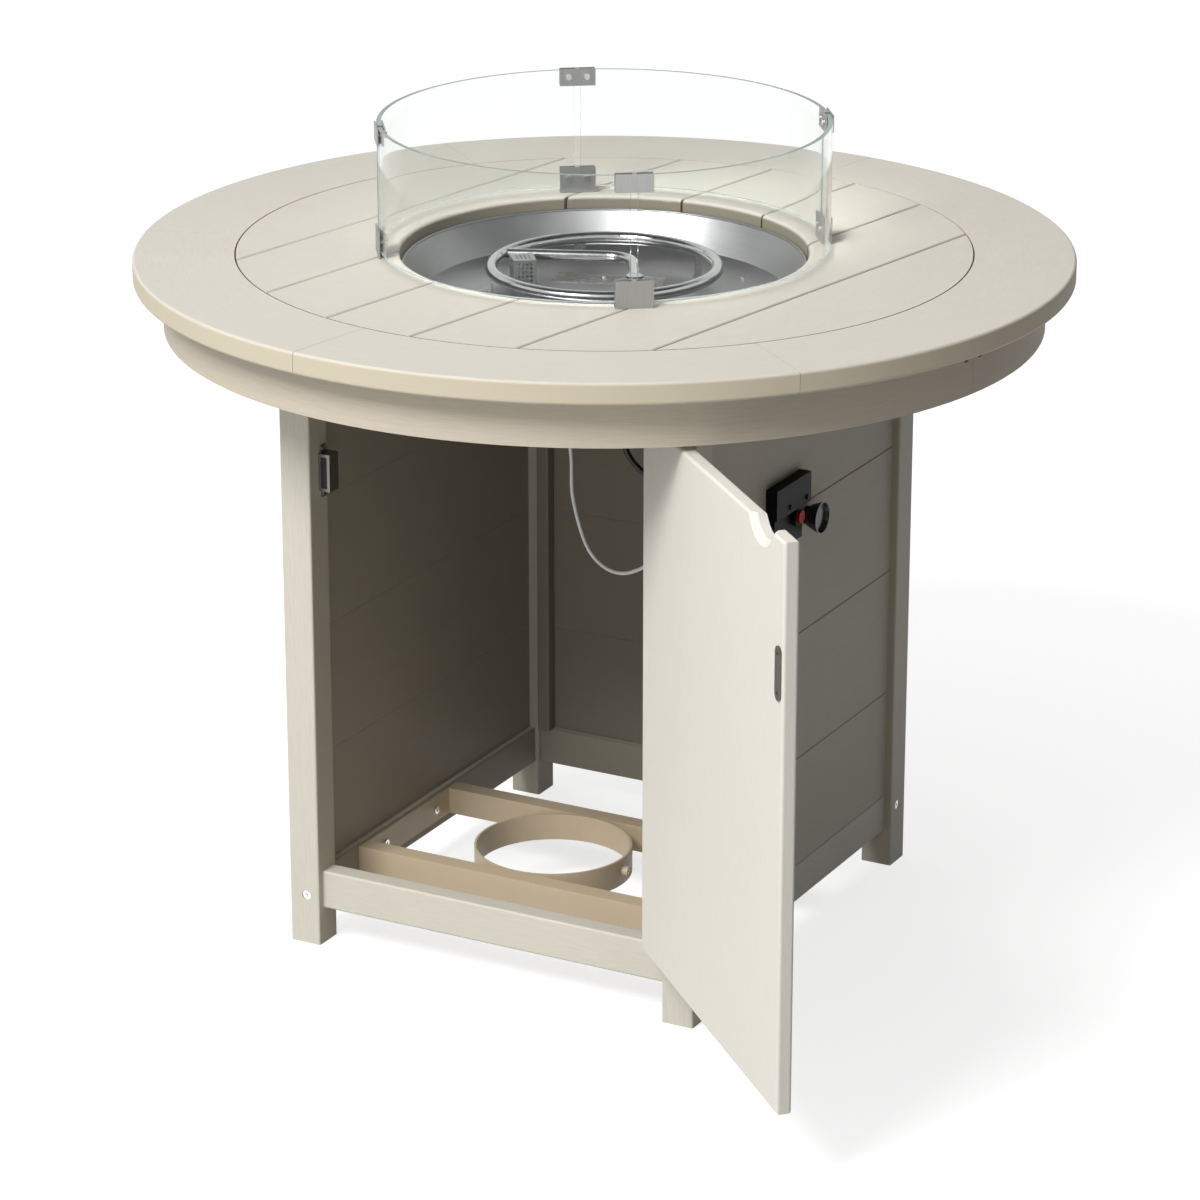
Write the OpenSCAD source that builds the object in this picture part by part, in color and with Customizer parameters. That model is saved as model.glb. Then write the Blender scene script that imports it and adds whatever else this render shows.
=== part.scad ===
// Round counter-height fire pit table in resin lumber: a slatted round top with a drop-in
// gas burner and a glass wind guard, on a square cabinet with one door and a tank holder.
// The table's axis is vertical, the door side faces -Y, and the floor is at z = 0.

/* [Top] */
// Radius of the round top
top_r = 609.6; // [560:1:680]
// Height of the top surface over the floor
top_h = 914.4; // [860:1:1000]
// Thickness of the lumber in the top and the rails
lumber_th = 28; // [24:1:32]
// Width of the segments that form the outer rim
rim_w = 132; // [110:1:160]
// How much wider an outer deck plank is than the others
outer_plank_extra = 8.3; // [0:0.1:30]
// Gap between two deck planks
plank_gap = 3; // [1:0.5:5]
// Radius of the opening for the burner
bowl_r = 265; // [220:1:275]
// Angle of the top on its base, seen from above
deck_turn = -9.7; // [-20:0.1:20]
// How far the apron stands back from the top's edge
apron_setback = 37.6; // [25:0.2:60]
// Height of the apron
apron_h = 64; // [40:1:68]

/* [Cabinet] */
// Width of the cabinet over its posts
base_w = 600; // [540:1:640]
// Depth of the cabinet over its posts
base_d = 648; // [600:1:680]
// Side of a square post
post_w = 44.5; // [38:0.5:60]
// Thickness of the side boards and the door
board_th = 19; // [16:1:22]
// Height of a lower rail's underside over the floor
rail_z = 50; // [30:1:80]
// Height of a lower rail
rail_h = 53; // [40:1:70]
// Height of an upper rail
upper_rail_h = 36; // [25:1:50]
// How far rails and side boards stand back from the posts' outer faces
recess = 11; // [6:0.5:14]
// Height of the first seam between side boards
seam_z = 256; // [200:1:300]
// Height of one side board
side_board_h = 176; // [150:1:190]

/* [Door] */
// Angle by which the door stands open
door_open = 136; // [90:1:150]
// Room between the door's edges and what is round them
door_gap = 5; // [4:0.5:8]
// Radius of the finger scoop in the door's top edge
scoop_r = 39; // [25:1:50]
// Depth of the finger scoop
scoop_depth = 20; // [10:1:30]
// Height of a hinge
hinge_h = 66; // [50:1:90]

/* [Burner] */
// Depth of the pan's floor under the top surface
pan_depth = 60; // [50:1:90]
// Radius of the pan's flat floor
pan_floor_r = 238; // [180:1:245]
// Radius of the burner ring at the middle of its tube
burner_r = 147; // [110:1:190]
// Radius of the burner ring's tube
burner_tube_r = 8; // [6:0.5:10]

/* [Wind guard] */
// Radius of the glass at its middle
guard_r = 290; // [270:1:330]
// Height of the glass
glass_h = 161; // [120:1:220]
// Thickness of the glass
glass_th = 6; // [4:0.5:8]
// Gap between two glass panels
glass_gap = 9; // [6:0.5:14]

/* [Tank holder] */
// Inner radius of the ring that holds the tank's foot
tank_r = 103.5; // [95:0.5:125]
// Height of the ring and of the frame round it
tank_frame_h = 37; // [25:1:38]
// Width of a frame tube
tank_tube_w = 25; // [20:1:40]

/* [Hidden] */
$fn = 96;
overrun = 1;
// A seam where two pieces nearly touch, and the room round a turning or sliding piece
fit_gap = 0.3;
pin_clearance = 0.05;
screw_clearance = 0.1;

// Planks, and the gap between them and the rim round them
plank_count = 7;
middle_plank = (plank_count + 1) / 2;
rim_gap = 2;

// Eased edges of the lumber
edge_r = 3;
plank_ease = 1.5;
rim_edge_r = 4;

// Heights and places that follow from the sizes above
deck_z = top_h - lumber_th;
plank_circle_r = top_r - rim_w - rim_gap / 2;
plank_pitch = 2 * (plank_circle_r - outer_plank_extra) / plank_count;
apron_r = top_r - apron_setback;
rim_inner_r = top_r - rim_w + rim_gap / 2;
base_top_z = deck_z - lumber_th;
upper_rail_z = base_top_z - upper_rail_h;
rail_top_z = rail_z + rail_h;
half_w = base_w / 2;
half_d = base_d / 2;
inner_x = half_w - post_w;
inner_y = half_d - post_w;

// Rim segments, and the apron's two bent halves with the blocks behind them
segment_count = 6;
segment_angle = 360 / segment_count;
segment_gap = 0.6;
apron_count = 2;
apron_angle = 360 / apron_count;
block_count = 6;
apron_th = 19;
block_w = 60;
block_reach = 28;
batten_w = 64;
batten_margin = 12;
support_leaf_w = 30;
batten_inner = bowl_r + support_leaf_w + batten_margin;

// Screws that hold the posts, the apron and the tank frame
screw_r = 3;
screw_head_r = 6.5;
screw_head_h = 4;
screw_len = 78;
screw_socket_r = 2.5;
screw_socket_depth = 2.5;
screw_inset = 1;
post_screw_step = 8;
apron_screw_len = 34;
apron_screw_spread = 15;
frame_screw_len = 16;
frame_screw_head_r = 5.5;
frame_screw_head_h = 3.5;
frame_screw_spread = 135;

// Side boards
board_ease = 1.2;
board_gap = 0.3;
seam_count = 3;
board_seams = [for (k = [0:seam_count - 1]) seam_z + k * side_board_h];
board_bottoms = concat([rail_top_z], board_seams);
board_tops = concat(board_seams, [upper_rail_z]);
batten_side = 19;

// Door, hinges and catch
leaf_th = 2;
pin_r = 2.5;
knuckle_r = 4.5;
pin_out = knuckle_r + fit_gap;
pin_head_r = 3.8;
pin_head_h = 1.5;
knuckle_count = 5;
door_w = 2 * inner_x - 2 * door_gap;
door_far_x = -(door_gap / 2 + door_w);
door_z = rail_top_z + door_gap;
door_top_z = upper_rail_z - door_gap - door_gap / 2;
door_h = door_top_z - door_z;
pin_x = inner_x - door_gap / 2;
pin_y = -half_d - pin_out;
hinge_low_room = 84;
hinge_high_room = 112;
hinge_zs = [door_z + hinge_low_room, door_top_z - hinge_high_room - hinge_h];
scoop_x_share = 0.845;
scoop_bevel = 8;
door_edge_r = 4;
strike_w = 18;
strike_h = 66;
strike_th = 2;
strike_inset = 4;
strike_drop = 160;
strike_z = door_top_z - strike_drop;
small_screw_r = 2.4;
strike_screw_spread = 48;
strike_x = door_far_x + strike_inset;
catch_w = 17;
catch_d = 22;
catch_h = 50;
catch_wall = 2;
catch_tab = 10;
catch_gap = 0.5;
catch_y = -half_d + board_th + strike_th + catch_gap;
magnet_w = 9;
small_screw_len = 12;
small_head_r = 4.2;
small_head_h = 1.6;
small_socket_depth = 1;

// Burner pan and what stands in it
sheet_th = 1.2;
pan_rim_depth = 17;
pan_bead_r = 2;
pan_side_gap = 3.2;
pan_top_r = bowl_r - pan_side_gap;
support_th = 1.5;
burner_depth = 26;
burner_wall = 1.5;
burner_z = top_h - burner_depth;
pan_floor_z = top_h - pan_depth;
feed_r = 7;
feed_start_angle = 182;
feed_start = [burner_r * cos(feed_start_angle), burner_r * sin(feed_start_angle)];
feed_turn_share = [0.062, 0.41];
feed_turn_at = burner_r * feed_turn_share;
feed_bend_r = 36;
feed_bend_steps = 10;
feed_sides = 20;
hub_share = [0.503, -0.39];
hub_at = burner_r * hub_share;
hub_r = 11;
hub_over = 12;
shank_r = 7.5;
shank_len = 34;
inlet_nut_r = 13;
inlet_nut_h = 9;
flame_hole_r = 1.6;
flame_hole_count = 18;
flame_hole_tilt = 50;
leg_angles = [61, 131, 205, 290];
leg_w = 16;
leg_foot = 14;
cage_share = [-0.694, -0.231];
cage_at = burner_r * cage_share;
cage_turn = 38;
cage_w = 30;
cage_d = 36;
cage_h = 42;
cage_hole_r = 1.7;
cage_hole_pitch = 5.5;
cage_hole_cols = 4;
cage_hole_rows = 5;
electrode_r = 3.5;
electrode_tip_r = 1;
electrode_up = 28;
electrode_tip = 6;
electrode_down = 26;
cover_share = [-0.153, 0.366];
cover_at = burner_r * cover_share;
cover_turn = 18;
cover_w = 147;
cover_d = 42;
pan_bolt_r = 4;
pan_bolt_h = 3;
pan_bolt_shares = [[-0.13, 0.24], [0.5, -0.63], [-0.63, 0.5], [0.55, 0.59]];

// Wind guard: panes, clips and their screws
pane_count = 4;
pane_angle = 360 / pane_count;
glass_lift = 8;
clip_w = 48;
clip_low_h = 35;
clip_high_h = 23;
clip_th = 2;
clip_over = 1.5;
clip_seat = 1.4;
clip_hole_share = 0.55;
clip_screw_r = 2.2;
clip_screw_len = glass_th + clip_seat + 1.5 * clip_th;
clip_head_r = 4.2;
clip_head_h = 2.4;
clip_screw_spread = 25;
clip_bridge_w = 6;
glass_bottom_z = top_h + glass_lift;
glass_top_z = glass_bottom_z + glass_h;
clip_zs = [top_h, glass_top_z - clip_high_h + clip_over];
clip_hs = [clip_low_h, clip_high_h];
clip_inner_x = guard_r - glass_th / 2 - clip_seat - clip_th;
clip_outer_x = guard_r + glass_th / 2 + pin_clearance;

// Tank holder
ring_wall = 3;
ring_at = [-35, -80];
ring_seat = 0.2;
strip_th = 3;
tank_tube_wall = 2;
frame_drop = 3;
frame_top_z = rail_top_z - frame_drop;
frame_z = frame_top_z - tank_frame_h;
rail_inner_x = half_w - recess - lumber_th;
tube_offset = tank_r + ring_wall + ring_seat;
boss_r = 7;
boss_len = 9;
set_screw_r = 3;

// Controls on the right side
button_y = -35;
button_z = 604;
knob_y = 12;
knob_z = 590;
panel_face_x = half_w - recess;
box_y = [-107, -7];
box_z = [618, 658];
box_out = 16;
box_wall = 2.5;
base_y = [-95, -14];
base_z = [570, 618];
base_out = 7;
bezel_r = 13;
bezel_out = 7;
button_r = 11;
button_out = 3;
button_len = 16;
button_travel_room = 6;
knob_r = 22;
knob_neck_r = 15;
knob_len = 17;
knob_skirt = 2;
knob_depth = 5;
stem_r = 4;
valve_neck_r = 9;
valve_nut_r = 13;
valve_room = 0.1;
valve_side = 30;
valve_len = 34;
port_r = 6.5;
port_len = 10;
module_r = 12;
module_len = 30;
control_screw_r = 3.5;
control_screw_h = 2;
control_screw_y = [-67, -18];
control_screw_z = 626;

// Cords: their diameters and the points that their routes pass, from the table's axis and
// the floor
wire_d = 5;
hose_d = 8;
wire_sides = 8;
hose_sides = 10;
wire_steps = 4;
hose_steps = 4;
electrode_end_z = pan_floor_z - electrode_down;
wire_start = [cage_at.x, cage_at.y, electrode_end_z];
wire_end = [panel_face_x - board_th - module_len, button_y, button_z];
wire_route = [
    wire_start, [-101, -34, 800], [-72, -30, 765], [-46, -26, 700], [-38, -22, 630],
    [-36, -20, 570], [-12, -20, 502], [30, -20, 478], [80, -22, 500],
    [140, -26, 560], [190, -33, 599], wire_end
];
hose_start = [hub_at.x, hub_at.y, pan_floor_z - shank_len];
hose_end = [panel_face_x - board_th - valve_len - port_len, knob_y, knob_z];
hose_route = [
    hose_start, [72, -56, 780], [52, -44, 700], [50, -30, 650], [78, -18, 615],
    [120, -6, 588], [175, 7, 588], hose_end
];

// The origin is on the floor at the middle of the space that the table takes up
door_corner_points = [
    for (x = [door_far_x + door_edge_r, -door_gap / 2 - door_edge_r])
        for (y = [pin_out + door_edge_r, pin_out + board_th - door_edge_r])
            [x, y]
];
door_corner_x = [for (p = door_corner_points) pin_x + turned(p, door_open).x];
door_corner_y = [for (p = door_corner_points) pin_y + turned(p, door_open).y];
reach_right = max(top_r, max(door_corner_x) + door_edge_r);
reach_front = max(top_r, door_edge_r - min(door_corner_y));
frame_shift = [(top_r - reach_right) / 2, (reach_front - top_r) / 2];

// Plain geometry

function turned(p, a) = [p.x * cos(a) - p.y * sin(a), p.x * sin(a) + p.y * cos(a)];

module rounded_rect(x, y, r) {
    translate([r, 0]) square([x - 2 * r, y]);
    translate([0, r]) square([x, y - 2 * r]);
    for (cx = [r, x - r])
        for (cy = [r, y - r])
            translate([cx, cy]) circle(r = r);
}

// A bar of lumber with eased long edges, from its low corner
module bar_z(x, y, z) {
    linear_extrude(z) rounded_rect(x, y, edge_r);
}

module bar_x(x, y, z) {
    translate([0, y, 0]) rotate([90, 0, 90]) mirror([1, 0, 0]) linear_extrude(x)
        rounded_rect(y, z, edge_r);
}

module bar_y(x, y, z) {
    translate([0, y, 0]) rotate([90, 0, 0]) linear_extrude(y) rounded_rect(x, z, edge_r);
}

module placed() {
    translate([frame_shift.x, frame_shift.y, 0]) children();
}

module on_deck() {
    placed() rotate([0, 0, deck_turn]) children();
}

module hinged() {
    placed() translate([pin_x, pin_y, 0]) rotate([0, 0, door_open]) children();
}

// Screws: each starts at its head's face and runs along -Z

module screw(r, len, head_r, head_h) {
    difference() {
        union() {
            translate([0, 0, -head_h]) cylinder(r = head_r, h = head_h);
            translate([0, 0, -len]) cylinder(r = r, h = len);
        }
        translate([0, 0, -screw_socket_depth])
            cylinder(r = screw_socket_r, h = screw_socket_depth + overrun, $fn = 6);
    }
}

module screw_hole(r, len, head_r, head_h, room) {
    translate([0, 0, -head_h - room]) cylinder(r = head_r + room, h = head_h + room + screw_len);
    translate([0, 0, -len - room]) cylinder(r = r + room, h = len);
}

// Posts and rails

// The two screws that cross in a post lie one above and one below the rail's middle
module at_post_screws() {
    rail_mid = recess + lumber_th / 2;
    for (z = [rail_z + rail_h / 2, upper_rail_z + upper_rail_h / 2])
        for (sx = [-1, 1])
            for (sy = [-1, 1]) {
                translate([sx * (half_w - rail_mid), sy * (half_d - screw_inset),
                           z - post_screw_step])
                    rotate([-90 * sy, 0, 0]) children();
                translate([sx * (half_w - screw_inset), sy * (half_d - rail_mid),
                           z + post_screw_step])
                    rotate([0, 90 * sx, 0]) children();
            }
}

module post_screw_holes() {
    at_post_screws() screw_hole(screw_r, screw_len, screw_head_r, screw_head_h, screw_clearance);
}

module post_screws() {
    color("silver") placed() at_post_screws()
        screw(screw_r, screw_len, screw_head_r, screw_head_h);
}

module post(sx, sy) {
    color("#dcd8cc") placed() difference() {
        translate([sx * (half_w - post_w / 2) - post_w / 2,
                   sy * (half_d - post_w / 2) - post_w / 2, 0])
            bar_z(post_w, post_w, base_top_z);
        post_screw_holes();
        at_catch_screws() small_screw_hole();
    }
}

module rail_across(sy, z, h) {
    y = sy > 0 ? half_d - recess - lumber_th : -half_d + recess;
    color("#d8d4c6") placed() difference() {
        translate([-inner_x, y, z]) bar_x(2 * inner_x, lumber_th, h);
        post_screw_holes();
    }
}

module rail_along(sx, z, h) {
    x = sx > 0 ? half_w - recess - lumber_th : -half_w + recess;
    color("#d8d4c6") placed() difference() {
        translate([x, -inner_y, z]) bar_y(lumber_th, 2 * inner_y, h);
        post_screw_holes();
        frame_screw_holes();
    }
}

// Side boards: stacked, with a small V where two meet on the outside

module eased_board(len, h) {
    rotate([90, 0, 90]) linear_extrude(len)
        polygon([[0, board_ease], [board_ease, 0], [board_th, 0],
                 [board_th, h], [board_ease, h], [0, h - board_ease]]);
}

module board_stack(len) {
    for (k = [0:seam_count])
        translate([0, 0, board_bottoms[k]])
            eased_board(len, board_tops[k] - board_bottoms[k] - board_gap);
}

module boards_right() {
    color("#565249") placed() difference() {
        translate([panel_face_x, -inner_y, 0]) rotate([0, 0, 90]) board_stack(2 * inner_y);
        at_knob() cylinder(r = valve_neck_r + fit_gap, h = 2 * board_th, center = true);
        at_button() cylinder(r = button_r + fit_gap, h = 2 * board_th, center = true);
    }
}

module boards_left() {
    color("#a9a392") placed() translate([-panel_face_x, inner_y, 0]) rotate([0, 0, -90])
        board_stack(2 * inner_y);
}

module boards_rear() {
    color("#a9a392") placed() translate([inner_x, half_d - recess, 0]) rotate([0, 0, 180])
        board_stack(2 * inner_x);
}

module corner_battens() {
    color("#b5af9e") placed() for (sx = [-1, 1])
        translate([sx * (inner_x - batten_side / 2) - batten_side / 2,
                   half_d - recess - board_th - batten_side, rail_top_z])
            bar_z(batten_side, batten_side, upper_rail_z - rail_top_z);
}

// Deck

module plank(k) {
    mid = (k - middle_plank) * plank_pitch;
    low = k == 1 ? -top_r : mid - plank_pitch / 2 + plank_gap / 2;
    high = k == plank_count ? top_r : mid + plank_pitch / 2 - plank_gap / 2;
    color("#dedacd") on_deck() difference() {
        translate([0, 0, deck_z]) linear_extrude(lumber_th) difference() {
            intersection() {
                circle(r = plank_circle_r);
                translate([low, -top_r]) square([high - low, 2 * top_r]);
            }
            circle(r = bowl_r);
        }
        for (x = [low, high]) plank_ease_cut(x);
        bowl_ease_cut();
    }
}

module plank_ease_cut(x) {
    translate([x, 0, top_h]) rotate([0, 45, 0])
        cube([plank_ease * sqrt(2), 2 * top_r, plank_ease * sqrt(2)], center = true);
}

// Rounds the planks' upper edge at the burner opening
module bowl_ease_cut() {
    r = 2 * edge_r;
    rotate_extrude($fn = 180) difference() {
        translate([bowl_r - overrun, top_h - r]) square([r + overrun, r + overrun]);
        translate([bowl_r + r, top_h - r]) circle(r = r);
    }
}

module rim_segments() {
    span = segment_angle - segment_gap / top_r * 180 / PI;
    start = 90 + (segment_angle - span) / 2;
    color("#dcd8cb") for (k = [0:segment_count - 1])
        on_deck() rotate([0, 0, start + k * segment_angle])
            rotate_extrude(angle = span, $fn = 180)
                translate([rim_inner_r, deck_z]) rim_profile(top_r - rim_inner_r);
}

module rim_profile(w) {
    square([w - rim_edge_r, lumber_th]);
    translate([0, rim_edge_r]) square([w, lumber_th - 2 * rim_edge_r]);
    for (z = [rim_edge_r, lumber_th - rim_edge_r])
        translate([w - rim_edge_r, z]) circle(r = rim_edge_r);
}

// Apron: two bent halves that meet over blocks under the deck

module at_apron_screws() {
    spread_angle = apron_screw_spread / apron_r * 180 / PI;
    for (k = [0:apron_count - 1])
        for (side = [-1, 1])
            rotate([0, 0, k * apron_angle + side * spread_angle])
                translate([apron_r - screw_inset, 0, deck_z - lumber_th / 2])
                    rotate([0, 90, 0]) children();
}

module apron_screw_holes() {
    at_apron_screws()
        screw_hole(screw_r, apron_screw_len, screw_head_r, screw_head_h, screw_clearance);
}

module apron_screws() {
    color("silver") on_deck() at_apron_screws()
        screw(screw_r, apron_screw_len, screw_head_r, screw_head_h);
}

module apron_segments() {
    span = apron_angle - segment_gap / apron_r * 180 / PI;
    start = (apron_angle - span) / 2;
    color("#bdb5a2") for (k = [0:apron_count - 1])
        on_deck() difference() {
            rotate([0, 0, start + k * apron_angle]) rotate_extrude(angle = span, $fn = 180)
                translate([apron_r - apron_th, deck_z - apron_h]) square([apron_th, apron_h]);
            apron_screw_holes();
        }
}

module apron_blocks() {
    block_start = plank_circle_r - block_reach;
    color("#b5af9e") for (k = [0:block_count - 1])
        on_deck() difference() {
            intersection() {
                rotate([0, 0, k * 360 / block_count])
                    translate([block_start, -block_w / 2, deck_z - lumber_th])
                        cube([apron_r - block_start, block_w, lumber_th]);
                cylinder(r = apron_r - apron_th, h = top_h, $fn = 180);
            }
            apron_screw_holes();
        }
}

// Battens under the deck, square round the burner, which rest on the cabinet
module deck_battens() {
    long_half = batten_inner + batten_w;
    color("#b5af9e") on_deck() for (side = [0, 180]) rotate([0, 0, side]) {
        translate([-long_half, batten_inner, base_top_z]) bar_x(2 * long_half, batten_w, lumber_th);
        translate([batten_inner, fit_gap - batten_inner, base_top_z])
            bar_y(batten_w, 2 * batten_inner - 2 * fit_gap, lumber_th);
    }
}

// Tank holder

module at_frame_screws() {
    for (sx = [-1, 1])
        for (side = [-1, 1])
            translate([sx * (rail_inner_x - strip_th - frame_screw_head_h),
                       ring_at.y + side * frame_screw_spread / 2, frame_z + tank_frame_h / 2])
                rotate([0, -90 * sx, 0]) children();
}

module frame_screw_holes() {
    at_frame_screws()
        translate([0, 0, -frame_screw_len - fit_gap])
            cylinder(r = screw_r + screw_clearance, h = frame_screw_len);
}

module frame_screws() {
    color("silver") placed() at_frame_screws()
        screw(screw_r, frame_screw_len, frame_screw_head_r, frame_screw_head_h);
}

module tank_tube(y) {
    len = 2 * (rail_inner_x - strip_th);
    wall = tank_tube_wall;
    translate([-len / 2, y, frame_z]) difference() {
        cube([len, tank_tube_w, tank_frame_h]);
        translate([-overrun, wall, wall])
            cube([len + 2 * overrun, tank_tube_w - 2 * wall, tank_frame_h - 2 * wall]);
    }
}

module tank_frame() {
    reach = tube_offset + tank_tube_w;
    color("#b9a88c") placed() difference() {
        union() {
            tank_tube(ring_at.y + tube_offset);
            tank_tube(ring_at.y - reach);
            for (sx = [-1, 1])
                translate([sx * (rail_inner_x - strip_th / 2) - strip_th / 2,
                           ring_at.y - reach, frame_z])
                    cube([strip_th, 2 * reach, tank_frame_h]);
        }
        frame_screw_holes();
    }
}

module at_ring_screw() {
    translate([ring_at.x + tank_r, ring_at.y, frame_z + tank_frame_h / 2])
        rotate([0, 90, 0]) children();
}

module tank_ring() {
    color("#b9a88c") placed() difference() {
        union() {
            translate([ring_at.x, ring_at.y, frame_z])
                cylinder(r = tank_r + ring_wall, h = tank_frame_h, $fn = 180);
            at_ring_screw() translate([0, 0, ring_wall / 2])
                cylinder(r = boss_r, h = ring_wall / 2 + boss_len);
        }
        translate([ring_at.x, ring_at.y, frame_z - overrun])
            cylinder(r = tank_r, h = tank_frame_h + 2 * overrun, $fn = 180);
        at_ring_screw() translate([0, 0, -ring_wall])
            cylinder(r = set_screw_r + pin_clearance, h = 2 * ring_wall + boss_len + overrun);
    }
}

module tank_set_screw() {
    color("#4a4a4a") placed() at_ring_screw() difference() {
        translate([0, 0, fit_gap]) cylinder(r = set_screw_r, h = ring_wall + boss_len - overrun);
        translate([0, 0, ring_wall + boss_len - overrun - screw_socket_depth])
            cylinder(r = set_screw_r / 2, h = 2 * screw_socket_depth, $fn = 6);
    }
}

// Door: drawn shut from its hinge pin, then turned open

module door() {
    color("#e4e1d8") hinged() difference() {
        intersection() {
            translate([door_far_x, pin_out, door_z]) linear_extrude(door_h)
                rounded_rect(door_w, board_th, door_edge_r);
            translate([door_far_x, pin_out, door_z]) door_side_bar();
        }
        scoop_cut();
        at_strike_screws() small_screw_hole();
        for (z = hinge_zs)
            translate([-door_gap / 2 - fit_gap, 0, z - overrun])
                cube([door_gap, board_th, hinge_h + 2 * overrun]);
    }
}

module door_side_bar() {
    translate([0, board_th, 0]) rotate([90, 0, 90]) mirror([1, 0, 0]) linear_extrude(door_w)
        rounded_rect(board_th, door_h, door_edge_r);
}

module scoop_cut() {
    scoop_x = -door_gap / 2 - door_w * scoop_x_share;
    translate([scoop_x, pin_out - overrun, door_top_z + scoop_r - scoop_depth])
        rotate([-90, 0, 0]) {
            cylinder(r = scoop_r, h = board_th + 2 * overrun);
            translate([0, 0, board_th + overrun - scoop_bevel])
                cylinder(r1 = scoop_r, r2 = scoop_r + scoop_bevel, h = scoop_bevel);
        }
}

// A small screw starts under its head and runs along -Z
module small_screw() {
    difference() {
        union() {
            cylinder(r = small_head_r, h = small_head_h);
            translate([0, 0, -small_screw_len]) cylinder(r = small_screw_r, h = small_screw_len);
        }
        translate([0, 0, small_head_h - small_socket_depth])
            cylinder(r = small_head_r / 2, h = small_socket_depth + overrun, $fn = 6);
    }
}

module small_screw_hole() {
    translate([0, 0, -small_screw_len - screw_clearance])
        cylinder(r = small_screw_r + screw_clearance, h = small_screw_len + screw_clearance);
}

module at_strike_screws() {
    for (side = [-1, 1])
        translate([strike_x + strike_w / 2, pin_out + board_th + strike_th - small_head_h,
                   strike_z + side * strike_screw_spread / 2])
            rotate([-90, 0, 0]) children();
}

module strike_plate() {
    color("silver") hinged() {
        difference() {
            translate([strike_x, pin_out + board_th + strike_th, strike_z - strike_h / 2])
                rotate([90, 0, 0]) linear_extrude(strike_th)
                    rounded_rect(strike_w, strike_h, strike_w / 2 - fit_gap);
            at_strike_screws() {
                translate([0, 0, overrun]) small_screw_hole();
                cylinder(r = small_head_r + screw_clearance, h = small_head_h + overrun);
            }
        }
        at_strike_screws() small_screw();
    }
}

// Hinges: five knuckles round one pin, the odd ones on the post and the even ones on the door

module knuckles(first, r, grow) {
    pitch = hinge_h / knuckle_count;
    for (k = [first:2:knuckle_count - 1])
        translate([0, 0, k * pitch + fit_gap / 2 - grow])
            cylinder(r = r, h = pitch - fit_gap + 2 * grow);
}

module leaf(side, own) {
    x = side > 0 ? door_gap / 2 - leaf_th : -door_gap / 2;
    difference() {
        union() {
            difference() {
                translate([x, 0, fit_gap / 2]) cube([leaf_th, board_th, hinge_h - fit_gap]);
                knuckles(1 - own, knuckle_r + fit_gap, fit_gap);
            }
            knuckles(own, knuckle_r, 0);
        }
        translate([0, 0, -overrun]) cylinder(r = pin_r + pin_clearance, h = hinge_h + 2 * overrun);
    }
}

module door_hinge_leaves() {
    color("gainsboro") hinged() for (z = hinge_zs) translate([0, 0, z]) leaf(-1, 1);
}

module post_hinge_leaves() {
    color("gainsboro") placed() for (z = hinge_zs) translate([pin_x, pin_y, z]) leaf(1, 0);
}

module hinge_pins() {
    color("silver") placed() for (z = hinge_zs) translate([pin_x, pin_y, z]) {
        cylinder(r = pin_r, h = hinge_h);
        translate([0, 0, hinge_h]) cylinder(r = pin_head_r, h = pin_head_h);
        translate([0, 0, -pin_head_h]) cylinder(r = pin_head_r, h = pin_head_h);
    }
}

// Magnetic catch on the left post, level with the strike plate

module at_catch_screws() {
    for (side = [-1, 1])
        translate([-inner_x + catch_wall, catch_y + catch_d / 2,
                   strike_z + side * (catch_h + catch_tab) / 2])
            rotate([0, 90, 0]) children();
}

module catch_bracket() {
    body_z = strike_z - catch_h / 2;
    tab_d = catch_d / 2;
    color("silver") placed() {
        difference() {
            union() {
                translate([-inner_x, catch_y, body_z]) cube([catch_w, catch_d, catch_h]);
                translate([-inner_x, catch_y + (catch_d - tab_d) / 2, body_z - catch_tab])
                    cube([catch_wall, tab_d, catch_h + 2 * catch_tab]);
            }
            catch_pocket(0);
            at_catch_screws() translate([0, 0, overrun]) small_screw_hole();
        }
        at_catch_screws() translate([0, 0, screw_clearance]) small_screw();
    }
}

module catch_pocket(inset) {
    wall = catch_wall + inset;
    translate([-inner_x + (catch_w - magnet_w) / 2 + inset, catch_y + inset - overrun,
               strike_z - catch_h / 2 + 2 * wall])
        cube([magnet_w - 2 * inset, catch_d - catch_wall - inset + overrun,
              catch_h - 4 * wall]);
}

module catch_magnet() {
    room = screw_clearance;
    color("#1c1c1c") placed() translate([0, overrun, 0]) intersection() {
        catch_pocket(room);
        translate([-half_w, catch_y - fit_gap, strike_z - catch_h])
            cube([half_w, catch_d - catch_wall - overrun, 2 * catch_h]);
    }
}

// Burner pan and the ring that carries it

module pan_profile() {
    polygon([
        [0, 0], [pan_floor_r, 0], [pan_top_r, pan_depth - pan_rim_depth],
        [pan_top_r - sheet_th, pan_depth - pan_rim_depth],
        [pan_floor_r - sheet_th / 2, sheet_th], [0, sheet_th]
    ]);
    translate([pan_top_r, pan_depth - pan_rim_depth]) circle(r = pan_bead_r, $fn = 32);
}

module burner_pan() {
    color("silver") placed() difference() {
        translate([0, 0, pan_floor_z - sheet_th]) rotate_extrude($fn = 180) pan_profile();
        translate([hub_at.x, hub_at.y, pan_floor_z]) pan_hole(shank_r + fit_gap);
        translate([cage_at.x, cage_at.y, pan_floor_z]) pan_hole(electrode_r + fit_gap);
    }
}

module pan_hole(r) {
    cylinder(r = r, h = 4 * sheet_th, center = true);
}

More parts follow.
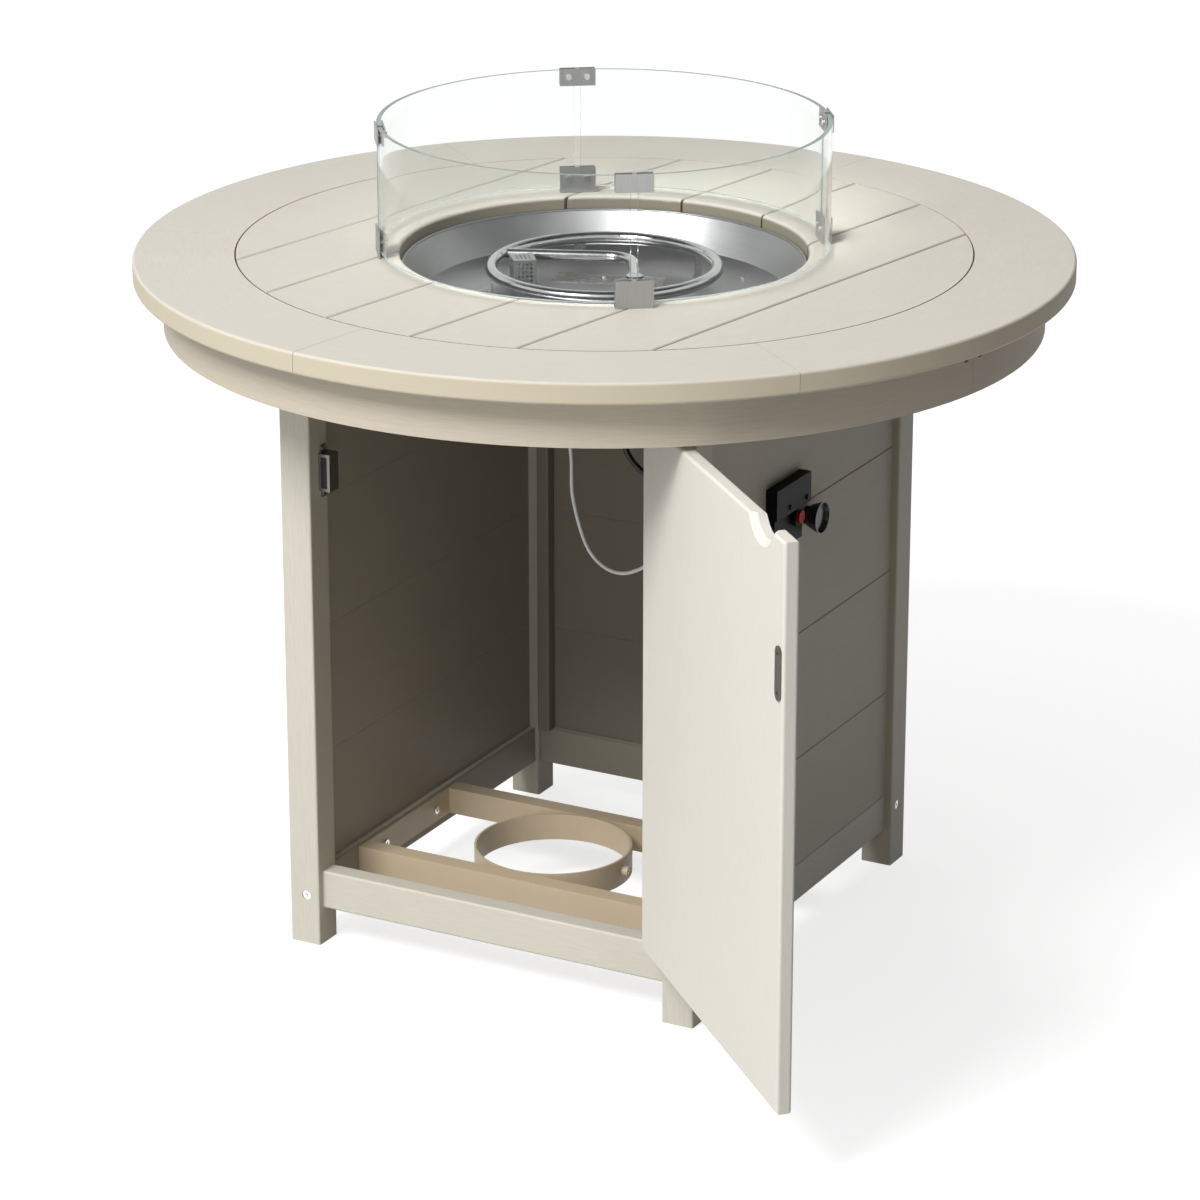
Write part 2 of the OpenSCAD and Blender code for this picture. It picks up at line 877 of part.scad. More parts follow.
module pan_support_ring() {
    lip_z = top_h - pan_rim_depth - pan_bead_r - sheet_th;
    color("gray") placed() rotate_extrude($fn = 180) {
        translate([pan_top_r + fit_gap, deck_z - support_th])
            square([support_leaf_w, support_th]);
        translate([pan_top_r + fit_gap, deck_z - support_th])
            square([support_th, lip_z - deck_z + support_th]);
    }
}

module at_flame_holes() {
    for (k = [0:flame_hole_count - 1])
        rotate([0, 0, (k + 1 / 2) * 360 / flame_hole_count]) translate([burner_r, 0, burner_z])
            rotate([0, -flame_hole_tilt, 0]) children();
}

module burner_ring() {
    color("lightgray") placed() difference() {
        translate([0, 0, burner_z]) rotate_extrude($fn = 180) translate([burner_r, 0])
            difference() {
                circle(r = burner_tube_r, $fn = 48);
                circle(r = burner_tube_r - burner_wall, $fn = 48);
            }
        at_flame_holes() cylinder(r = flame_hole_r, h = 2 * burner_tube_r, $fn = 16);
    }
}

// The feed tube runs level from the ring to the gas inlet, with one smooth bend

function heading(a, b) = atan2(b.y - a.y, b.x - a.x);
function on_circle(centre, r, a) = [centre.x + r * cos(a), centre.y + r * sin(a), burner_z];

feed_in_angle = heading(feed_start, feed_turn_at);
feed_out_angle = heading(feed_turn_at, hub_at);
feed_cut = feed_bend_r * tan((feed_in_angle - feed_out_angle) / 2);
feed_bend_start = on_circle(feed_turn_at, feed_cut, feed_in_angle + 180);
feed_bend_centre = on_circle(feed_bend_start, feed_bend_r, feed_in_angle - 90);
feed_path = [
    [feed_start.x, feed_start.y, burner_z],
    for (k = [0:feed_bend_steps])
        let (a = feed_in_angle + (feed_out_angle - feed_in_angle) * k / feed_bend_steps)
        on_circle(feed_bend_centre, feed_bend_r, a + 90),
    [hub_at.x, hub_at.y, burner_z]
];

module feed_tube() {
    color("lightgray") placed() difference() {
        swept_tube(feed_path, feed_r, feed_sides);
        translate([0, 0, burner_z]) rotate_extrude($fn = 180) translate([burner_r, 0])
            circle(r = burner_tube_r + screw_clearance, $fn = 48);
        translate([hub_at.x, hub_at.y, pan_floor_z])
            cylinder(r = hub_r + screw_clearance, h = top_h);
    }
}

module gas_inlet() {
    color("#b08d4c") placed() translate([hub_at.x, hub_at.y, 0]) {
        translate([0, 0, pan_floor_z]) cylinder(r = hub_r, h = pan_depth - burner_depth + hub_over);
        translate([0, 0, pan_floor_z - shank_len]) cylinder(r = shank_r, h = shank_len);
        translate([0, 0, pan_floor_z - sheet_th - inlet_nut_h])
            cylinder(r = inlet_nut_r, h = inlet_nut_h, $fn = 6);
    }
}

module burner_legs() {
    color("silver") placed() difference() {
        for (a = leg_angles) rotate([0, 0, a]) {
            translate([burner_r - sheet_th / 2, -leg_w / 2, pan_floor_z])
                cube([sheet_th, leg_w, pan_depth - burner_depth]);
            translate([burner_r - sheet_th / 2, -leg_w / 2, pan_floor_z])
                cube([leg_foot, leg_w, sheet_th]);
        }
        translate([0, 0, burner_z]) rotate_extrude($fn = 180) translate([burner_r, 0])
            circle(r = burner_tube_r + screw_clearance, $fn = 48);
    }
}

module igniter_cage() {
    color("silver") placed() translate([cage_at.x, cage_at.y, pan_floor_z])
        rotate([0, 0, cage_turn]) difference() {
            translate([-cage_w / 2, -cage_d / 2, 0]) cube([cage_w, cage_d, cage_h]);
            translate([-cage_w / 2 + sheet_th, -cage_d / 2 + sheet_th, -overrun])
                cube([cage_w - 2 * sheet_th, cage_d - 2 * sheet_th, cage_h - sheet_th + overrun]);
            cage_holes();
        }
}

module cage_holes() {
    for (col = [0:cage_hole_cols - 1]) {
        x = (col - (cage_hole_cols - 1) / 2) * cage_hole_pitch;
        for (side = [0, 90])
            for (row = [0:cage_hole_rows - 1])
                rotate([0, 0, side]) translate([x, 0, cage_h - (row + 1) * cage_hole_pitch])
                    rotate([90, 0, 0])
                        cylinder(r = cage_hole_r, h = 2 * cage_d, center = true, $fn = 16);
        for (row = [0:cage_hole_cols - 1])
            translate([x, (row - (cage_hole_cols - 1) / 2) * cage_hole_pitch, cage_h])
                cylinder(r = cage_hole_r, h = 4 * sheet_th, center = true, $fn = 16);
    }
}

module igniter_electrode() {
    color("ivory") placed() translate([cage_at.x, cage_at.y, electrode_end_z]) {
        cylinder(r = electrode_r, h = electrode_down + electrode_up);
        cylinder(r = electrode_tip_r, h = electrode_down + electrode_up + electrode_tip);
    }
    color("ivory") placed() translate([cage_at.x, cage_at.y, pan_floor_z])
        cylinder(r = 2 * electrode_r, h = sheet_th);
}

module pan_cover_plate() {
    color("silver") placed() translate([cover_at.x, cover_at.y, pan_floor_z])
        rotate([0, 0, cover_turn]) translate([-cover_w / 2, -cover_d / 2, 0])
            cube([cover_w, cover_d, sheet_th]);
}

module pan_bolts() {
    color("silver") placed() for (k = [0:len(pan_bolt_shares) - 1]) {
        at = pan_floor_r * pan_bolt_shares[k];
        seat = k == 0 ? pan_floor_z + sheet_th : pan_floor_z;
        translate([at.x, at.y, seat])
            cylinder(r = pan_bolt_r, h = pan_bolt_h);
    }
}

// Wind guard: four bent panes, with a clip above and below at each joint

module at_guard_joints() {
    for (k = [0:pane_count - 1]) rotate([0, 0, (k + 1 / 2) * pane_angle]) children();
}

module at_guard_screws() {
    at_guard_joints()
        for (k = [0:len(clip_zs) - 1])
            for (side = [-1, 1])
                translate([clip_inner_x, side * clip_screw_spread / 2,
                           clip_zs[k] + clip_hs[k] * clip_hole_share])
                    rotate([0, -90, 0]) children();
}

module guard_screw_holes(room) {
    at_guard_screws() translate([0, 0, -clip_screw_len - screw_clearance])
        cylinder(r = clip_screw_r + room, h = clip_screw_len + overrun);
}

module glass_panels() {
    half_gap = glass_gap / 2 / guard_r * 180 / PI;
    color("#cfe0d8", 0.35) on_deck() for (k = [0:pane_count - 1])
        difference() {
            rotate([0, 0, (k + 1 / 2) * pane_angle + half_gap])
                rotate_extrude(angle = pane_angle - 2 * half_gap, $fn = 180)
                    translate([guard_r - glass_th / 2, glass_bottom_z]) square([glass_th, glass_h]);
            guard_screw_holes(fit_gap);
        }
}

// A clip is an inner and an outer plate with a bridge through the gap between two panes
module guard_clips() {
    color("silver") on_deck() difference() {
        at_guard_joints() for (k = [0:len(clip_zs) - 1]) translate([0, 0, clip_zs[k]]) {
            for (x = [clip_inner_x, clip_outer_x])
                translate([x, -clip_w / 2, 0]) cube([clip_th, clip_w, clip_hs[k]]);
            translate([clip_inner_x, -clip_bridge_w / 2, 0])
                cube([clip_outer_x - clip_inner_x + clip_th / 2, clip_bridge_w, clip_hs[k]]);
        }
        guard_screw_holes(pin_clearance);
    }
}

module guard_screws() {
    color("gainsboro") on_deck() at_guard_screws() {
        cylinder(r = clip_head_r, h = clip_head_h);
        translate([0, 0, -clip_screw_len]) cylinder(r = clip_screw_r, h = clip_screw_len);
    }
}

// Controls: each is drawn round its own axis, which points out of the right side

module at_button() {
    translate([panel_face_x, button_y, button_z]) rotate([0, 90, 0]) children();
}

module at_knob() {
    translate([panel_face_x, knob_y, knob_z]) rotate([0, 90, 0]) children();
}

module control_block(y, z, out) {
    translate([panel_face_x, y[0], z[0]]) cube([out, y[1] - y[0], z[1] - z[0]]);
}

module control_box() {
    color("#1d1d1e") placed() {
        difference() {
            control_block(box_y, box_z, box_out);
            translate([-overrun, 0, 0])
                control_block([box_y[0] + box_wall, box_y[1] - box_wall],
                              [box_z[0] + box_wall, box_z[1] - box_wall],
                              box_out - box_wall + overrun);
        }
        for (y = control_screw_y)
            translate([panel_face_x + box_out, y, control_screw_z]) rotate([0, 90, 0])
                cylinder(r = control_screw_r, h = control_screw_h);
    }
}

module control_base() {
    color("#161616") placed() difference() {
        union() {
            control_block(base_y, base_z, base_out);
            at_button() cylinder(r = bezel_r, h = base_out + bezel_out);
            at_button() translate([0, 0, -board_th - module_len])
                cylinder(r = button_r, h = board_th + module_len);
            at_button() translate([0, 0, -board_th - module_len])
                cylinder(r = module_r, h = module_len);
        }
        at_button() translate([0, 0, base_out + bezel_out - button_len - button_travel_room])
            cylinder(r = button_r - box_wall + pin_clearance,
                     h = button_len + 2 * button_travel_room);
    }
}

module igniter_button() {
    color("#a00c0c") placed() at_button()
        translate([0, 0, base_out + bezel_out + button_out - button_len])
            cylinder(r = button_r - box_wall, h = button_len);
}

module gas_valve() {
    color("#b08d4c") placed() difference() {
        union() {
            at_knob() translate([0, 0, -board_th])
                cylinder(r = valve_neck_r, h = board_th + base_out);
            at_knob() translate([0, 0, valve_room])
                cylinder(r = valve_nut_r, h = base_out - valve_room, $fn = 6);
            at_knob() translate([-valve_side / 2, -valve_side / 2, -board_th - valve_len])
                cube([valve_side, valve_side, valve_len]);
            at_knob() translate([0, 0, -board_th - valve_len - port_len])
                cylinder(r = port_r, h = port_len + overrun);
        }
        at_knob() translate([0, 0, -board_th])
            cylinder(r = stem_r + pin_clearance, h = board_th + base_out + overrun);
    }
}

module gas_knob() {
    face = base_out + fit_gap;
    cup_z = knob_len - knob_depth;
    cup_floor_r = knob_neck_r + (knob_r - knob_neck_r) * cup_z / knob_len - knob_skirt;
    color("#2b2b2d") placed() at_knob() difference() {
        union() {
            translate([0, 0, face]) cylinder(r1 = knob_neck_r, r2 = knob_r, h = knob_len);
            translate([0, 0, fit_gap - board_th]) cylinder(r = stem_r, h = board_th + face);
        }
        translate([0, 0, face + cup_z])
            cylinder(r1 = cup_floor_r, r2 = knob_r - knob_skirt, h = knob_depth + fit_gap);
    }
}

// Cords and bent tubes: each is swept along a path

function spline_point(a, b, c, d, t) =
    (2 * b + (c - a) * t + (2 * a - 5 * b + 4 * c - d) * t * t
     + (3 * b - a - 3 * c + d) * t * t * t) / 2;

function smooth_route(route, steps) = [
    for (k = [0:len(route) - 2])
        for (s = [0:steps - 1])
            spline_point(route[max(k - 1, 0)], route[k], route[k + 1],
                         route[min(k + 2, len(route) - 1)], s / steps),
    route[len(route) - 1]
];

function unit(v) = v / norm(v);
function tangent(path, k) = unit(path[min(k + 1, len(path) - 1)] - path[max(k - 1, 0)]);

// One ring of corners, square to the way that the tube runs there
function tube_ring(at, way, r, sides) =
    let (across = unit(cross(way, [0, 1, 0])),
         up = cross(across, way))
    [for (s = [0:sides - 1])
        at + r * (across * cos(s * 360 / sides) + up * sin(s * 360 / sides))];

// first_way and last_way, where they are given, are the ways in which the tube's ends face
module swept_tube(path, r, sides, first_way, last_way) {
    last = len(path) - 1;
    ways = [for (k = [0:last])
        k == 0 && first_way != undef ? first_way
        : k == last && last_way != undef ? last_way : tangent(path, k)];
    points = [for (k = [0:last]) for (p = tube_ring(path[k], ways[k], r, sides)) p];
    walls = [for (k = [0:last - 1])
        for (s = [0:sides - 1])
            let (a = k * sides + s, b = k * sides + (s + 1) % sides)
            for (face = [[a, b, b + sides], [a, b + sides, a + sides]]) face];
    start_cap = [for (s = [0:sides - 1]) sides - 1 - s];
    end_cap = [for (s = [0:sides - 1]) last * sides + s];
    polyhedron(points, concat(walls, [start_cap, end_cap]));
}

module igniter_wire() {
    color("white") placed()
        swept_tube(smooth_route(wire_route, wire_steps), wire_d / 2, wire_sides,
                   [0, 0, -1], [1, 0, 0]);
}

module gas_hose() {
    color("#151515") placed()
        swept_tube(smooth_route(hose_route, hose_steps), hose_d / 2, hose_sides,
                   [0, 0, -1], [1, 0, 0]);
}

post(-1, -1);  // post_front_left
post(1, -1);  // post_front_right
post(-1, 1);  // post_rear_left
post(1, 1);  // post_rear_right
rail_across(-1, rail_z, rail_h);  // rail_front_lower
rail_across(1, rail_z, rail_h);  // rail_rear_lower
rail_along(-1, rail_z, rail_h);  // rail_left_lower
rail_along(1, rail_z, rail_h);  // rail_right_lower
rail_across(-1, upper_rail_z, upper_rail_h);  // rail_front_upper
rail_across(1, upper_rail_z, upper_rail_h);  // rail_rear_upper
rail_along(-1, upper_rail_z, upper_rail_h);  // rail_left_upper
rail_along(1, upper_rail_z, upper_rail_h);  // rail_right_upper
boards_left();
boards_right();
boards_rear();
corner_battens();
plank(1);  // plank_1
plank(2);  // plank_2
plank(3);  // plank_3
plank(4);  // plank_4
plank(5);  // plank_5
plank(6);  // plank_6
plank(7);  // plank_7
rim_segments();
apron_segments();
apron_blocks();
deck_battens();
post_screws();
apron_screws();
tank_frame();
tank_ring();
tank_set_screw();
frame_screws();
door();
strike_plate();
door_hinge_leaves();
post_hinge_leaves();
hinge_pins();
catch_bracket();
catch_magnet();
burner_pan();
pan_support_ring();
burner_ring();
feed_tube();
gas_inlet();
burner_legs();
igniter_cage();
igniter_electrode();
pan_cover_plate();
pan_bolts();
glass_panels();
guard_clips();
guard_screws();
control_box();
control_base();
igniter_button();
gas_knob();
gas_valve();
igniter_wire();
gas_hose();
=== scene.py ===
"""Looks of the round fire pit table: camera, studio light, materials and the two cords.

All lengths are in metres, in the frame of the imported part: the floor is at z = 0, the door
side faces -Y, and the round top's axis is a little off the origin.
"""
import math

import bpy
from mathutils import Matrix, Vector


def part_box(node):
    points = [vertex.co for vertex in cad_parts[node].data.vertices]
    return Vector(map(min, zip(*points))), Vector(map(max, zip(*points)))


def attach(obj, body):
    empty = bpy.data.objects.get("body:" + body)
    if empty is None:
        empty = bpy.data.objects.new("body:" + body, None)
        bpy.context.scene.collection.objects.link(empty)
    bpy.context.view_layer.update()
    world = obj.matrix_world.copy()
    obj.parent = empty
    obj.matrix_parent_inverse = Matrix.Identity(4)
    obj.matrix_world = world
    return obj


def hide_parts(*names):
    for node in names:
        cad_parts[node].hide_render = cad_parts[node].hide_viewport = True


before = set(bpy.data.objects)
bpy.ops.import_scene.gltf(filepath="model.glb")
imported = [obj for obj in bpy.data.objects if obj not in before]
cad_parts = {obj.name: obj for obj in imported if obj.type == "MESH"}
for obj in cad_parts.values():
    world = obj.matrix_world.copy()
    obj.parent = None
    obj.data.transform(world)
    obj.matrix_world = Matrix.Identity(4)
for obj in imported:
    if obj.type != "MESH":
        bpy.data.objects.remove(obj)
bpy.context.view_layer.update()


# Places taken from the part

def middle(node):
    low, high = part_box(node)
    return (low + high) / 2


PAN_MIDDLE = middle("burner_pan")
AXIS = Vector((PAN_MIDDLE.x, PAN_MIDDLE.y, 0))
TOP_TURN = math.radians(-9.7)


def from_axis(points):
    """Points given from the top's axis and the floor, as points in the part's frame."""
    return [AXIS + Vector(p) for p in points]


# Camera: the view of the photograph

CAMERA_AZIMUTH = math.radians(28.1)
CAMERA_ELEVATION = math.radians(19.6)
CAMERA_DISTANCE = 5.996
CAMERA_LENS = 135
CAMERA_SENSOR = 36
CAMERA_REACH = 50
TARGET_RIGHT = -0.0058
TARGET_HEIGHT = 0.4285


def make_camera():
    back = Vector((
        math.sin(CAMERA_AZIMUTH) * math.cos(CAMERA_ELEVATION),
        -math.cos(CAMERA_AZIMUTH) * math.cos(CAMERA_ELEVATION),
        math.sin(CAMERA_ELEVATION),
    ))
    right = Vector((math.cos(CAMERA_AZIMUTH), math.sin(CAMERA_AZIMUTH), 0))
    target = AXIS + right * TARGET_RIGHT + Vector((0, 0, TARGET_HEIGHT))
    data = bpy.data.cameras.new("camera")
    data.lens = CAMERA_LENS
    data.sensor_width = CAMERA_SENSOR
    data.sensor_fit = "HORIZONTAL"
    data.clip_end = CAMERA_REACH
    camera = bpy.data.objects.new("camera", data)
    camera.location = target + back * CAMERA_DISTANCE
    camera.rotation_euler = back.to_track_quat("Z", "Y").to_euler()
    bpy.context.scene.collection.objects.link(camera)
    bpy.context.scene.camera = camera


# Cords: the routes are those of the part's source, smoothed in the same way

WIRE_DIAMETER = 0.005
HOSE_DIAMETER = 0.008
ROUTE_STEPS = 6
CORD_ROUNDNESS = 6
WIRE_ROUTE = [
    (-0.102, -0.034, 0.8284), (-0.101, -0.034, 0.800), (-0.072, -0.030, 0.765),
    (-0.046, -0.026, 0.700), (-0.038, -0.022, 0.630), (-0.036, -0.020, 0.570),
    (-0.012, -0.020, 0.502), (0.030, -0.020, 0.478), (0.080, -0.022, 0.500),
    (0.140, -0.026, 0.560), (0.190, -0.033, 0.599), (0.240, -0.035, 0.604),
]
HOSE_ROUTE = [
    (0.0739, -0.0573, 0.8204), (0.072, -0.056, 0.780), (0.052, -0.044, 0.700),
    (0.050, -0.030, 0.650), (0.078, -0.018, 0.615), (0.120, -0.006, 0.588),
    (0.175, 0.007, 0.588), (0.226, 0.012, 0.590),
]


def spline_point(a, b, c, d, t):
    """The point at share t of the smooth curve from b to c, which a and d bend."""
    return (2 * b + (c - a) * t + (2 * a - 5 * b + 4 * c - d) * t ** 2
            + (3 * b - a - 3 * c + d) * t ** 3) / 2


def smooth_route(route):
    last = len(route) - 1
    points = [
        spline_point(route[max(k - 1, 0)], route[k], route[k + 1],
                     route[min(k + 2, last)], step / ROUTE_STEPS)
        for k in range(last) for step in range(ROUTE_STEPS)
    ]
    return points + [route[last]]


def make_cord(name, route, diameter, node, material):
    points = smooth_route(from_axis(route))
    curve = bpy.data.curves.new(name, "CURVE")
    curve.dimensions = "3D"
    curve.bevel_depth = diameter / 2
    curve.bevel_resolution = CORD_ROUNDNESS
    curve.use_fill_caps = True
    spline = curve.splines.new("POLY")
    spline.points.add(len(points) - 1)
    for place, p in zip(spline.points, points):
        place.co = (*p, 1)
    spline.use_smooth = True
    cord = bpy.data.objects.new(name, curve)
    bpy.context.scene.collection.objects.link(cord)
    curve.materials.append(material)
    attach(cord, "table")
    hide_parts(node)


# Nodes: helpers that add shader nodes to a tree and link them

X, Y, Z = 0, 1, 2
WHITE = (1, 1, 1, 1)
# For each kind of mix, the sockets of its two values and of its result
MIX_SOCKETS = {"FLOAT": (2, 3, 0), "RGBA": (6, 7, 2)}


class Nodes:
    def __init__(self, tree):
        self.tree = tree

    def add(self, kind, inputs=None, **settings):
        node = self.tree.nodes.new("ShaderNode" + kind)
        for key, value in settings.items():
            setattr(node, key, value)
        for socket, value in (inputs or {}).items():
            self.feed(node.inputs[socket], value)
        return node

    def feed(self, socket, value):
        if isinstance(value, bpy.types.NodeSocket):
            self.tree.links.new(value, socket)
        else:
            socket.default_value = value

    def math(self, operation, *values):
        return self.add("Math", dict(enumerate(values)), operation=operation).outputs[0]

    def vector(self, operation, *values):
        return self.add("VectorMath", dict(enumerate(values)), operation=operation).outputs[0]

    def dot(self, a, b):
        return self.add("VectorMath", {0: a, 1: b}, operation="DOT_PRODUCT").outputs["Value"]

    def ranged(self, value, low, high, to_low=0.0, to_high=1.0):
        return self.add("MapRange", {"Value": value, "From Min": low, "From Max": high,
                                     "To Min": to_low, "To Max": to_high}).outputs[0]

    def mix(self, factor, a, b, kind="RGBA"):
        first, second, result = MIX_SOCKETS[kind]
        node = self.add("Mix", {0: factor}, data_type=kind)
        self.feed(node.inputs[first], a)
        self.feed(node.inputs[second], b)
        return node.outputs[result]


class Material(Nodes):
    def __init__(self, name, **values):
        self.material = bpy.data.materials.new(name)
        self.material.use_nodes = True
        super().__init__(self.material.node_tree)
        self.shader = self.tree.nodes["Principled BSDF"]
        for socket, value in values.items():
            self.shader.inputs[socket.replace("_", " ")].default_value = value

    def set(self, socket, value):
        self.feed(self.shader.inputs[socket], value)

    def place(self, turn=0.0):
        """Coordinates of the part, from the top's axis, turned about it."""
        coords = self.add("TexCoord").outputs["Object"]
        shifted = self.vector("SUBTRACT", coords, AXIS)
        return self.add("VectorRotate", {"Vector": shifted, "Angle": -turn},
                        rotation_type="Z_AXIS").outputs[0]

    def round_place(self, radius, turn=0.0):
        """Coordinates round the top's axis: way round at that radius, way out, height."""
        x, y, z = self.add("SeparateXYZ", {0: self.place(turn)}).outputs
        angle = self.math("ARCTAN2", y, x)
        out = self.math("SQRT", self.math("ADD", self.math("MULTIPLY", x, x),
                                          self.math("MULTIPLY", y, y)))
        way = self.math("MULTIPLY", angle, radius)
        return self.add("CombineXYZ", {X: way, Y: out, Z: z}).outputs[0]

    def normal(self):
        return self.add("NewGeometry").outputs["Normal"]

    def noise(self, place, scale=1.0, detail=3.0, roughness=0.55):
        return self.add("TexNoise", {"Vector": place, "Scale": scale, "Detail": detail,
                                     "Roughness": roughness}).outputs["Fac"]

    def bump(self, height, strength, distance):
        node = self.add("Bump", {"Height": height, "Strength": strength, "Distance": distance})
        self.set("Normal", node.outputs[0])


# Colours

def srgb(hex_colour):
    """The linear colour of a written screen colour."""
    parts = [int(hex_colour[k:k + 2], 16) / 255 for k in (1, 3, 5)]
    linear = [p / 12.92 if p <= 0.04045 else ((p + 0.055) / 1.055) ** 2.4 for p in parts]
    return (*linear, 1)


def shades(tone, darker, lighter):
    """A darker and a lighter shade of the tone, kept within white."""
    base = srgb(tone)[:3]
    return [(*(min(c * factor, 1) for c in base), 1) for factor in (darker, lighter)]


# Parts of the span that noise covers, from its narrow middle to nearly the whole

NARROW_SPAN = (0.3, 0.7)
MEDIUM_SPAN = (0.25, 0.75)
WIDE_SPAN = (0.2, 0.8)


# Lumber: streaks along the grain, fine speckle and a soft mottle

GRAIN_FINE = 700
GRAIN_LONG = 30
SPECKLE = 1100
MOTTLE = 9
STREAK_SHARE = 0.5
SPECKLE_SHARE = 0.25
MOTTLE_SHARE = 0.25
DARK_STREAK = 0.12
LIGHT_STREAK = 0.11
LUMBER_SHINE = 0.35
LUMBER_ROUGHNESS = (0.5, 0.64)
LUMBER_RELIEF = 0.35
LUMBER_DEPTH = 0.0006
SPECKLE_RELIEF = 0.5
UPRIGHT_SPAN = (0.2, 0.7)
# Painted shade: the warmer cast of upright lumber faces
UPRIGHT_SHADE_WARMTH = (1.06, 1.0, 0.86)
EDGE_BAND = 0.01


def lumber(name, tone, grain, turn=0.0, radius=None, contrast=1.0, painted_upright_shade=1.0, inner_shade=None):
    """grain is the axis that the grain follows. With a radius it runs round the top's axis.

    Upright faces keep only a share of the tone, made warmer: painted shade on the cut walls and
    edges.
    Faces that look at the middle of the cabinet, on unturned lumber, take a darker tone:
    painted shade inside the cabinet.
    """
    graph = Material(name, Specular_IOR_Level=LUMBER_SHINE)
    place = graph.round_place(radius, turn) if radius else graph.place(turn)
    scale = [GRAIN_FINE] * 3
    scale[grain] = GRAIN_LONG
    streak = graph.noise(graph.vector("MULTIPLY", place, scale), detail=2.5, roughness=0.6)
    speckle = graph.noise(place, SPECKLE, detail=1.0)
    mottle = graph.noise(place, MOTTLE, detail=3.0)
    light = graph.ranged(streak, *NARROW_SPAN)
    spread = graph.math("ADD", graph.math("MULTIPLY", light, STREAK_SHARE),
                        graph.math("ADD", graph.math("MULTIPLY", speckle, SPECKLE_SHARE),
                                   graph.math("MULTIPLY", mottle, MOTTLE_SHARE)))
    low, high = shades(tone, 1 - DARK_STREAK * contrast, 1 + LIGHT_STREAK * contrast)
    colour = graph.mix(spread, low, high)
    # Painted shade: upright faces darker and warmer, standing in for the shade on cut walls and
    # edges
    if painted_upright_shade < 1:
        rise = graph.add("SeparateXYZ", {0: graph.normal()}).outputs[Z]
        upright_shade_mask = graph.ranged(graph.math("ABSOLUTE", rise), *UPRIGHT_SPAN, 1.0, 0.0)
        upright_shade_tone = (*(c * painted_upright_shade * warm for c, warm in zip(srgb(tone), UPRIGHT_SHADE_WARMTH)), 1)
        colour = graph.mix(upright_shade_mask, colour, upright_shade_tone)
    # Painted shade: faces that look at the middle of the cabinet take the darker tone
    if inner_shade:
        outward = graph.dot(place, graph.normal())
        colour = graph.mix(graph.ranged(outward, -EDGE_BAND, EDGE_BAND), srgb(inner_shade), colour)
    graph.set("Base Color", colour)
    graph.set("Roughness", graph.ranged(streak, *WIDE_SPAN, *LUMBER_ROUGHNESS))
    relief = graph.math("ADD", streak, graph.math("MULTIPLY", speckle, SPECKLE_RELIEF))
    graph.bump(relief, LUMBER_RELIEF, LUMBER_DEPTH)
    return graph.material


# Powder coat: a fine orange peel under a soft unevenness of tone

COAT_PEEL = 700
COAT_CLOUDS = 14
COAT_SHADES = (0.93, 1.06)
COAT_SHINE = 0.5
COAT_ROUGHNESS = (0.34, 0.46)
COAT_RELIEF = 0.25
COAT_DEPTH = 0.0003


def powder_coat(name, tone):
    graph = Material(name, Specular_IOR_Level=COAT_SHINE)
    place = graph.place()
    peel = graph.noise(place, COAT_PEEL, detail=2.0)
    clouds = graph.noise(place, COAT_CLOUDS, detail=2.0)
    graph.set("Base Color", graph.mix(clouds, *shades(tone, *COAT_SHADES)))
    graph.set("Roughness", graph.ranged(peel, *NARROW_SPAN, *COAT_ROUGHNESS))
    graph.bump(peel, COAT_RELIEF, COAT_DEPTH)
    return graph.material


# Steel: brush lines, and smudges that dull it here and there

SMUDGES = 22
SMUDGE_DULLING = 0.02
STEEL_SHADES = (0.86, 1.1)
BRUSH_DULLING = 0.2
BRUSH_DEPTH = 0.0001


def steel(name, tone, roughness, brush, relief=0.15, radius=None, anisotropic=0.0):
    """brush is how fine the lines are along each axis. With a radius they run round."""
    graph = Material(name, Metallic=1.0, Anisotropic=anisotropic)
    place = graph.round_place(radius) if radius else graph.place()
    lines = graph.noise(graph.vector("MULTIPLY", place, brush), detail=3.0, roughness=0.7)
    smudge = graph.noise(graph.place(), SMUDGES, detail=3.0)
    graph.set("Base Color", graph.mix(graph.ranged(lines, *MEDIUM_SPAN),
                                      *shades(tone, *STEEL_SHADES)))
    brushed = graph.ranged(lines, *WIDE_SPAN, roughness * (1 - BRUSH_DULLING),
                           roughness * (1 + BRUSH_DULLING))
    smudged = graph.ranged(smudge, *NARROW_SPAN, -SMUDGE_DULLING, SMUDGE_DULLING)
    graph.set("Roughness", graph.math("ADD", brushed, smudged))
    graph.bump(lines, relief, BRUSH_DEPTH)
    if anisotropic:
        graph.set("Tangent", graph.add("Tangent", direction_type="RADIAL", axis="Z").outputs[0])
    return graph.material


# Plastic: a fine moulded grain and a soft unevenness of tone

PLASTIC_GRAIN = 1200
PLASTIC_CLOUDS = 30
PLASTIC_SHADES = (0.85, 1.15)
PLASTIC_DULLING = 0.15
PLASTIC_DEPTH = 0.0002


def plastic(name, tone, roughness, relief=0.1, shine=0.5):
    graph = Material(name, Specular_IOR_Level=shine)
    place = graph.place()
    grain = graph.noise(place, PLASTIC_GRAIN, detail=2.0)
    clouds = graph.noise(place, PLASTIC_CLOUDS, detail=2.0)
    graph.set("Base Color", graph.mix(clouds, *shades(tone, *PLASTIC_SHADES)))
    graph.set("Roughness", graph.ranged(grain, *NARROW_SPAN, roughness * (1 - PLASTIC_DULLING),
                                        roughness * (1 + PLASTIC_DULLING)))
    graph.bump(grain, relief, PLASTIC_DEPTH)
    return graph.material


# Glass: clear across the panes, greener and less clear at their cut edges

GLASS_FACE = srgb("#f9fbfa")
GLASS_EDGE = srgb("#96a49e")
EDGE_CLEARNESS = 0.25
EDGE_SPAN = (0.3, 0.7)
GLASS_BEND = 1.15
GLASS_HAZE = 35
HAZE_ROUGHNESS = 0.03


